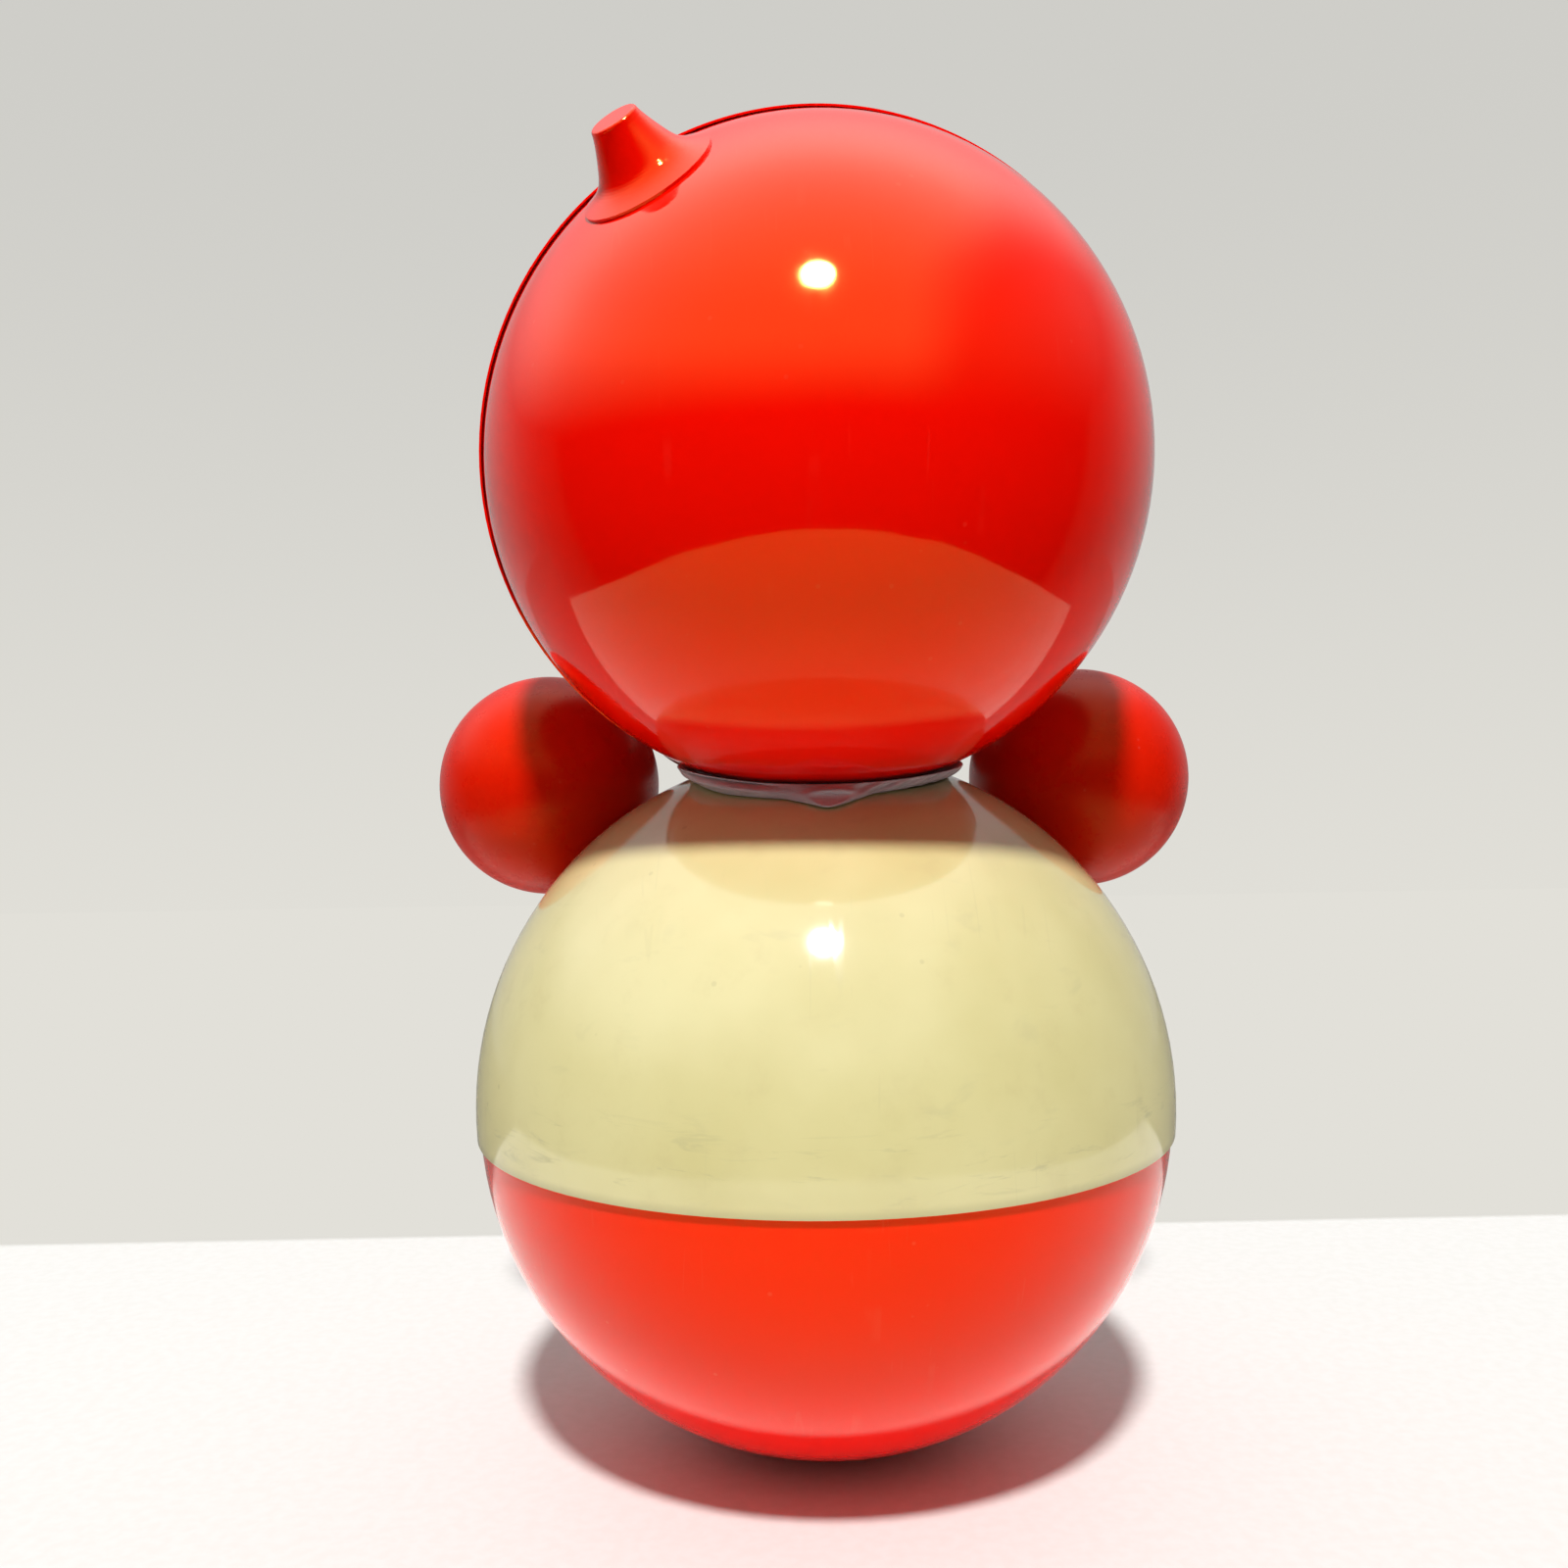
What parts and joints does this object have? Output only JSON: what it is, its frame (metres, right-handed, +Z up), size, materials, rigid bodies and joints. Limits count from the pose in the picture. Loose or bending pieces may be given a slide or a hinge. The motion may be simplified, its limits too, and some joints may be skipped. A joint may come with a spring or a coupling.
{
  "type": "roly poly toy",
  "caption": "Self-righting roly poly doll: weighted round body with a chime inside, a ball head that turns, ball arms and a ribbon round the neck.",
  "frame": {"origin": "middle of the small flat at the pole of the bowl, which the toy rests on", "axes": "+Z up, -Y the way the doll faces, +X its left; the neck leans back towards +Y"},
  "size_m": [0.1838, 0.1628, 0.2869],
  "materials": {
    "bowl_red": "glossy moulded, orange-red",
    "body_cream": "glossy moulded, yellowed cream",
    "head_red": "glossy moulded, orange-red",
    "arm_vinyl": "satin soft vinyl, red",
    "ribbon": "satin ribbon, white",
    "face": "glossy moulded, painted",
    "eye": "glossy black",
    "ballast_iron": "as cast",
    "die_cast": "as cast, dull",
    "steel": "drawn, bright",
    "nylon": "moulded nylon",
    "clapper": "hard moulded, tan"
  },
  "bodies": {
    "body": {"lower_bowl": "bowl_red", "upper_dome": "body_cream", "ballast_weight": "ballast_iron", "chime_base": "die_cast", "base_washer": "steel", "base_screw": "steel", "chime_rod_1": "steel", "chime_rod_2": "steel", "chime_rod_3": "steel", "chime_rod_4": "steel", "chime_rod_5": "steel", "chime_rod_6": "steel", "chime_rod_7": "steel", "chime_rod_8": "steel", "bridge_post_left": "steel", "bridge_post_right": "steel", "bridge_bar": "die_cast", "bridge_nuts": "steel", "neck_washer": "nylon", "neck_clip": "steel", "neck_ribbon": "ribbon", "ribbon_bow": "ribbon"},
    "hanger": {"pendulum_link": "steel"},
    "pendulum": {"pendulum_rod": "steel", "clapper_disc": "clapper", "clapper_nut": "steel"},
    "head": {"head_back_shell": "head_red", "head_front_shell": "head_red", "head_neck_bush": "nylon", "face_plate": "face", "left_eye": "eye", "right_eye": "eye", "hood_tip": "head_red", "tip_nut": "steel"},
    "arm_left": {"left_arm": "arm_vinyl"},
    "arm_right": {"right_arm": "arm_vinyl"}
  },
  "joints": [
    {"name": "head_turn", "type": "hinge", "parent": "body", "child": "head", "pos_m": [0, 0.01463, 0.21527], "axis": [0, 0.1045, 0.9945], "continuous": true},
    {"name": "left_arm_turn", "type": "hinge", "parent": "body", "child": "arm_left", "pos_m": [0.06521, -0.03395, 0.14603], "axis": [0.6424, -0.3344, 0.6895], "continuous": true},
    {"name": "right_arm_turn", "type": "hinge", "parent": "body", "child": "arm_right", "pos_m": [-0.06521, -0.03395, 0.14603], "axis": [-0.6424, -0.3344, 0.6895], "continuous": true},
    {"name": "link_swing", "type": "hinge", "parent": "body", "child": "hanger", "pos_m": [0, 0, 0.11415], "axis": [1, 0, 0], "range_deg": [-11.5, 11.5]},
    {"name": "clapper_swing", "type": "hinge", "parent": "hanger", "child": "pendulum", "pos_m": [0, 0, 0.09775], "axis": [0, 1, 0], "range_deg": [-19, 19]}
  ]
}
